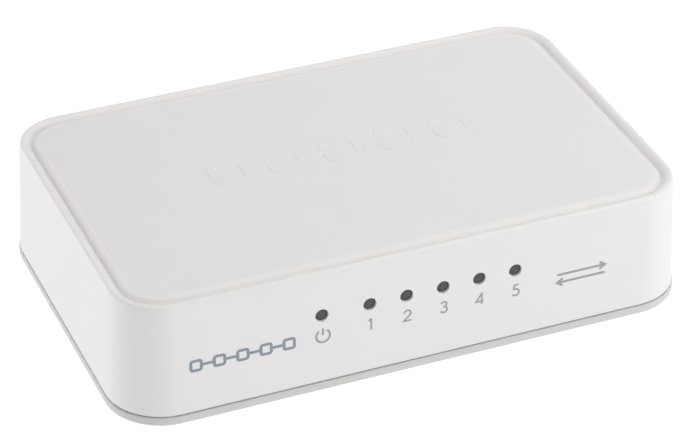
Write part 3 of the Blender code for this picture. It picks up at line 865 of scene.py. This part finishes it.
def light_guide():
    """The clear moulding behind the front holes, with a domed end in each."""
    low, high = box_mm("light_guide")
    bottom, top = PART_Z + 2.15, LIGHT_Z + PIPE_HALF
    elbow = top - 2 * PIPE_HALF
    back, front = high.y, high.y - 2 * PIPE_HALF
    column = [(back, bottom), (back, elbow), (front, top), (PIPE_END_Y, top), (PIPE_END_Y, elbow)]
    column += [(front, elbow), (front, bottom)]
    arms = together(prism(column, "X", x - PIPE_HALF, x + PIPE_HALF) for x in light_xs())
    dome = [(0.3, LIGHT_END_Y), (0.8, LIGHT_END_Y + 0.03), (1.15, LIGHT_END_Y + 0.1)]
    dome += [(PIPE_TIP, LIGHT_END_Y + 0.2), (PIPE_TIP, PIPE_END_Y + 1.0)]
    tips = together(turned_along_y(dome, x, LIGHT_Z) for x in light_xs())
    left, right = low.x + BAR_LEG, high.x - BAR_LEG
    bar = [(low.x, PART_Z), (left, PART_Z), (left, BAR_LOW), (right, BAR_LOW), (right, PART_Z)]
    bar += [(high.x, PART_Z), (high.x, BAR_HIGH), (low.x, BAR_HIGH)]
    plate = prism(bar, "Y", front + 0.3, back - 0.3)
    add_piece("light_pipes", build(plate, joined=[arms, tips]), "smoked_clear", ["light_guide"])


# ---- Marks ----


def stroke(path, width, high, closed=False, slope=0.0):
    """A line along a path of (x, y), from z = 0 to a height, narrower on top by a slope on each side."""
    path = [Vector(point) for point in path]
    count = len(path)
    rings = []
    for i, point in enumerate(path):
        before = path[i - 1] if closed or i else path[0]
        after = path[(i + 1) % count] if closed or i < count - 1 else path[-1]
        arrive = (point - before).normalized()
        leave = (after - point).normalized()
        arrive = arrive if arrive.length else leave
        leave = leave if leave.length else arrive
        along = (arrive + leave).normalized()
        across = Vector((-along.y, along.x))
        mitre = across / max(0.4, across.dot(Vector((-leave.y, leave.x))))
        low, top = mitre * width / 2, mitre * (width / 2 - slope)
        corners = ((point + low, 0.0), (point - low, 0.0), (point - top, high), (point + top, high))
        rings.append([(*corner, z) for corner, z in corners])
    return loft(rings, closed)


# The paths that draw each figure from 1 to 5
DIGITS = (
    [[(0.08, 0.0), (0.08, 2.6)], [(-0.42, 2.08), (0.02, 2.45)]],
    [arc((0.0, 1.78), 0.68, 175, -38, 18) + [(-0.78, 0.14), (0.82, 0.14)]],
    [arc((0.0, 1.88), 0.58, 160, -95, 16), arc((-0.02, 0.72), 0.68, 95, -160, 18)],
    [[(0.38, 0.0), (0.38, 2.55)], [(0.32, 2.32), (-0.82, 0.62), (0.78, 0.62)]],
    [[(0.62, 2.45), (-0.28, 2.45), (-0.46, 1.36)], arc((-0.05, 0.8), 0.74, 124, -150, 18)],
)


def digit(paths, scale=1.0):
    """The strokes of one figure, each a hair higher than the one before, so that no two tops coincide."""
    return [
        stroke([(scale * x, scale * y) for x, y in path], DIGIT_STROKE, INK * (1 + 0.2 * order))
        for order, path in enumerate(paths)
    ]


def on_front(solid, x, z):
    """Lays a mark that is drawn flat against the front wall, with its origin at a place on it."""
    tilt = Matrix.Rotation(math.radians(90) - math.atan(TAPER), 4, "X")
    place = Matrix.Translation((x, front_y(z), z)) @ tilt
    bmesh.ops.transform(solid, matrix=place, verts=solid.verts)
    return solid


def on_back(solid, x, z):
    """The same on the back wall, to be read from behind."""
    on_front(solid, -x, z)
    bmesh.ops.rotate(solid, matrix=Matrix.Rotation(math.pi, 3, "Z"), verts=solid.verts)
    return solid


def front_marks():
    digits = []
    for paths, x in zip(DIGITS, light_xs()[1:]):
        digits += [on_front(line, x + MARKS_ASIDE, DIGIT_LOW) for line in digit(paths)]
    ring = stroke(arc((0.0, 0.0), 1.4, 125, 415, 40), POWER_STROKE, INK)
    bar = stroke([(0.0, 1.7), (0.0, 0.2)], POWER_STROKE, INK)
    power = [on_front(part, light_xs()[0] + MARKS_ASIDE, POWER_MARK_Z) for part in (ring, bar)]
    add_piece("numbers", mesh_of(together(digits), "numbers"), "mark_grey")
    add_piece("power_mark", mesh_of(together(power), "power_mark"), "mark_grey")


def back_marks():
    """A number over each socket, and the sign for direct current over the power inlet."""
    marks = []
    for paths, x in zip(DIGITS, jack_xs()):
        marks += [on_back(line, x, BACK_MARK_Z) for line in digit(paths, BACK_DIGIT_SCALE)]
    x = middle("power_socket_body").x
    line = stroke([(-1.7, 0.45), (1.7, 0.45)], DIGIT_STROKE, INK)
    starts = (-1.7, -0.45, 0.8)
    dashes = [stroke([(start, -0.45), (start + 0.9, -0.45)], DIGIT_STROKE, INK) for start in starts]
    marks += [on_back(part, x, BACK_MARK_Z + 0.9) for part in (line, *dashes)]
    add_piece("back_marks", mesh_of(together(marks), "back_marks"), "mark_grey")


def chain_mark(size, pitch, width, high, slope=0.0):
    """Five rounded squares in a row, joined by short links: a plain sign for linked sockets."""
    parts = []
    for i in range(PORTS):
        x = pitch * (i - (PORTS - 1) / 2)
        outline = rounded_outline(size / 2 - width / 2, size / 2 - width / 2, size * 0.16, 5, (x, 0.0))
        parts.append(stroke(outline, width, high, True, slope))
        if i < PORTS - 1:
            ends = (x + size / 2 - slope + 0.02, x + pitch - size / 2 + slope - 0.02)
            parts.append(stroke([(end, 0.0) for end in ends], width, high, False, slope))
    return parts


def arrows_mark(long, rise, width, high):
    """Two arrows, one each way."""
    parts = []
    for side in (1, -1):
        level, tip = side * rise, side * long / 2
        parts.append(stroke([(-tip, level), (tip - side * 0.3, level)], width, high))
        head = [(tip - side * 1.2, level + 0.8), (tip, level), (tip - side * 1.2, level - 0.8)]
        parts.append(stroke(head, width, high * 1.2))
    return parts


def plain_marks():
    front = [on_front(part, *FRONT_SIGN_AT) for part in chain_mark(2.7, 4.7, 0.6, INK)]
    add_piece("front_sign", mesh_of(together(front), "front_sign"), "mark_blue")
    right = [on_front(part, *RIGHT_SIGN_AT) for part in arrows_mark(10.4, 0.88, 0.5, INK)]
    add_piece("right_sign", mesh_of(together(right), "right_sign"), "mark_grey")
    raised = together(chain_mark(8.4, 12.0, 1.7, RAISED_HIGH, RAISED_SLOPE))
    place = (*RAISED_SIGN_AT, TOP_Z - PANEL_DEPTH - RAISED_SUNK)
    bmesh.ops.translate(raised, vec=place, verts=raised.verts)
    add_piece("raised_sign", mesh_of(raised, "raised_sign"), "panel_white")


# ---- Sockets: each is drawn with its face at y = 0, its middle at x = 0, and the board at z = 0 ----


def port_outline(margin):
    """The way in for a plug, with the stepped way for its latch below, as (x, z)."""
    wide, latch, key = PLUG_WIDE / 2 + margin, LATCH_WIDE / 2 + margin, KEY_WIDE / 2 + margin
    low, step, bottom, high = PLUG_LOW - margin, LATCH_MIDDLE - margin, KEY_LOW - margin, PLUG_HIGH + margin
    right = [(key, bottom), (key, step), (latch, step), (latch, low), (wide, low), (wide, high)]
    return right + [(-x, z) for x, z in reversed(right)]


def wire_xs():
    return [WIRE_PITCH * (i - (WIRES - 1) / 2) for i in range(WIRES)]


def jack_shield_mesh():
    half = JACK_WIDE / 2
    outside = rounded_outline(half, JACK_HIGH / 2 - 0.05, 0.45, 5, (0.0, JACK_HIGH / 2 + 0.05))
    bend_x, bend_z = half - SHEET - 0.2, JACK_HIGH - SHEET - 0.2
    room = arc((bend_x, bend_z), 0.2, 0, 90, 5) + arc((-bend_x, bend_z), 0.2, 90, 180, 5)
    room += [(SHEET - half, -1.0), (half - SHEET, -1.0)]
    shell = prism(outside, "Y", -JACK_LONG, 0.0)
    inside = prism(room, "Y", -JACK_LONG + SHEET, -SHEET)
    window = prism(port_outline(0.2), "Y", -1.0, 1.0)
    seams = together(
        block((x - SEAM_HALF, -SHEET - 0.2, -1.0), (x + SEAM_HALF, 1.0, JACK_HIGH - 1.6))
        for x in (SEAM_INSET - half, half - SEAM_INSET)
    )
    return build(shell, cut=[inside, window, seams])


def jack_tongue_mesh():
    """Two sprung tongues, one in each side of the window, that touch the shield of a plug."""
    tongues = []
    for side in (-1, 1):
        x = side * (PLUG_WIDE / 2 + 0.12)
        path = [(0.02, 0.0), (-1.2, 0.16), (-3.0, 0.42), (-4.4, 0.3), (-5.2, 0.05)]
        outline = [(x - side * rise, y) for y, rise in path]
        back = [(px + side * 0.15, y) for px, y in reversed(outline)]
        tongues.append(prism(outline + back, "Z", 6.2, 8.8))
    return mesh_of(together(tongues), "tongues")


def jack_housing_mesh():
    side = JACK_WIDE / 2 - SHEET - 0.1
    body = block((-side, -JACK_LONG + SHEET + 0.1, 0.1), (side, -SHEET - 0.1, JACK_HIGH - SHEET - 0.1))
    way_in = prism(port_outline(0.0), "Y", -PLUG_DEEP, 1.0)
    comb_room = block((-4.7, -PLUG_DEEP, PLUG_HIGH - 1.0), (4.7, -2.6, COMB_ROOM_TOP))
    pockets = together(
        block((x - POCKET_HALF, -5.6, 5.9), (x + POCKET_HALF, 1.0, 9.1)) for x in (-POCKET_X, POCKET_X)
    )
    edges = [x - WIRE_PITCH / 2 for x in wire_xs()] + [wire_xs()[-1] + WIRE_PITCH / 2]
    fin_low, fin_top = PLUG_HIGH - 0.1, COMB_ROOM_TOP + 0.3
    fins = together(
        block((x - FIN_HALF, -PLUG_DEEP - 0.3, fin_low), (x + FIN_HALF, -5.2, fin_top)) for x in edges
    )
    return build(body, cut=[way_in, comb_room, pockets], added=[fins])


def contacts_mesh():
    """Eight gold wires that slope down into the socket from the bend that they turn at."""
    along = Vector((0.0, -math.cos(COMB_SLOPE), -math.sin(COMB_SLOPE)))
    across = Vector((0.0, -along.z, along.y))
    wires = []
    for x in wire_xs():
        start = Vector((x, 0.0, 0.0))
        points = [start + along * 0.1, start + along * 2.5, start + along * 5.0, start + along * 7.2]
        points += [start + along * 7.9 - across * 0.03, start + along * 8.4 - across * 0.12]
        wires.append(tube(points, WIRE_RADIUS))
    axle = rod(0.3, -4.5, 4.5, sides=20)
    bmesh.ops.rotate(axle, matrix=Matrix.Rotation(math.radians(90), 3, "Y"), verts=axle.verts)
    return mesh_of(together([*wires, axle]), "contacts")


def port_sockets():
    housing, shield = jack_housing_mesh(), jack_shield_mesh()
    comb, tongues = contacts_mesh(), jack_tongue_mesh()
    for number, x in enumerate(jack_xs(), 1):
        at = (x, FACE_Y, PART_Z)
        port = f"port_{number}"
        add_piece(f"{port}_insert", housing, "black_plastic", [f"{port}_housing"], at=at, edge=0.08)
        add_piece(f"{port}_shell", shield, "tin_plate", [f"{port}_shield"], at=at, edge=0.03)
        add_piece(f"{port}_tongues", tongues, "tin_plate", at=at)
        spring_at = (x, FACE_Y + COMB_Y, PART_Z + COMB_Z)
        add_piece(f"{port}_wires", comb, "gold_plate", [f"{port}_contacts"], f"{port}_springs", spring_at)


def power_socket():
    place = middle("power_socket_body")
    at = (place.x, FACE_Y, PART_Z)
    half = POWER_WIDE / 2
    body = block((-half, -POWER_LONG, 0.1), (half, 0.0, POWER_HIGH))
    flared = BARREL_RADIUS + BARREL_FLARE
    funnel = [(BARREL_RADIUS, -BARREL_DEEP), (BARREL_RADIUS, -0.45), (flared, -0.05), (flared, 1.0)]
    barrel = turned_along_y(funnel, 0.0, BARREL_Z, 64)
    leaf_room = block((-1.5, -12.0, 1.4), (1.5, -2.5, BARREL_Z - 2.0))
    mesh = build(body, cut=[barrel, leaf_room])
    add_piece("power_inlet", mesh, "black_plastic", ["power_socket_body"], at=at, edge=0.15)
    dome = [(0.1, -1.0), (0.55, -1.08), (0.85, -1.3), (1.0, -1.7), (1.0, -9.8)]
    pin = turned_along_y(dome[::-1], 0.0, BARREL_Z, 32)
    add_piece("power_pin", mesh_of(pin, "power_pin"), "tin_plate", ["power_socket_pin"], at=at)


# ---- Stage ----


def camera():
    turn, rise, roll = (math.radians(a) for a in (CAMERA_TURN, CAMERA_RISE, CAMERA_ROLL))
    back = Vector((math.sin(turn) * math.cos(rise), -math.cos(turn) * math.cos(rise), math.sin(rise)))
    level = Vector((math.cos(turn), math.sin(turn), 0.0))
    above = back.cross(level)
    right = math.cos(roll) * level + math.sin(roll) * above
    up = back.cross(right)
    data = bpy.data.cameras.new("camera")
    data.lens = CAMERA_LENS
    data.clip_start = 0.01
    data.clip_end = 20.0
    made = bpy.data.objects.new("camera", data)
    bpy.context.scene.collection.objects.link(made)
    place = Vector(CAMERA_AIM) + back * CAMERA_DISTANCE + right * CAMERA_OFFSET[0] + up * CAMERA_OFFSET[1]
    turned_to = Matrix((right, up, back)).transposed().to_4x4()
    made.matrix_world = Matrix.Translation(place * METRES) @ turned_to
    bpy.context.scene.camera = made


def floor():
    solid = bmesh.new()
    bmesh.ops.create_grid(solid, x_segments=1, y_segments=1, size=4000.0)
    ground = add_object("floor", mesh_of(solid, "floor"))
    white = (1.0, 1.0, 1.0, 1.0)
    surface = Surface("pale_floor", (0.2,) * 3, 0.9, Emission_Color=white, Emission_Strength=0.92)
    surface.colours(surface.noise(60.0, 2.0), (0.195,) * 3, (0.205,) * 3)
    ground.data.materials.append(surface.made)


def softbox(name, place, size, power):
    data = bpy.data.lights.new(name, "AREA")
    data.shape = "RECTANGLE"
    data.size, data.size_y = size
    data.energy = power
    lamp = bpy.data.objects.new(name, data)
    bpy.context.scene.collection.objects.link(lamp)
    lamp.location = place
    lamp.rotation_mode = "QUATERNION"
    lamp.rotation_quaternion = (Vector(place) - Vector((0.0, 0.0, 0.01))).to_track_quat("Z", "Y")


def lights():
    softbox("left_box", (-1.2, 0.0, 0.55), (1.0, 0.5), 2.45)
    softbox("left_back_box", (-0.85, 0.85, 0.14), (1.0, 0.24), 4.35)
    softbox("left_front_box", (-1.0, -1.0, 0.7), (0.8, 0.7), 0.85)
    softbox("right_front_box", (0.42, -0.46, 0.28), (0.34, 0.3), 1.9)
    softbox("right_back_box", (0.35, 0.6, 0.45), (0.5, 0.4), 0.8)
    softbox("right_top_box", (0.4, 0.05, 0.6), (0.5, 0.4), 0.7)
    softbox("top_box", (0.0, 0.1, 1.5), (1.4, 1.2), 9.8)
    world = bpy.data.worlds.new("studio")
    world.use_nodes = True
    shade = world.node_tree.nodes["Background"]
    shade.inputs["Color"].default_value = (1.0, 1.0, 1.0, 1.0)
    shade.inputs["Strength"].default_value = 0.15
    bpy.context.scene.world = world
    bpy.context.scene.view_settings.view_transform = "Standard"


camera()
floor()
lights()
finish_kept_nodes()
top_cover()
base_tray()
feet()
case_screws()
rating_label()
light_guide()
front_marks()
back_marks()
plain_marks()
port_sockets()
power_socket()
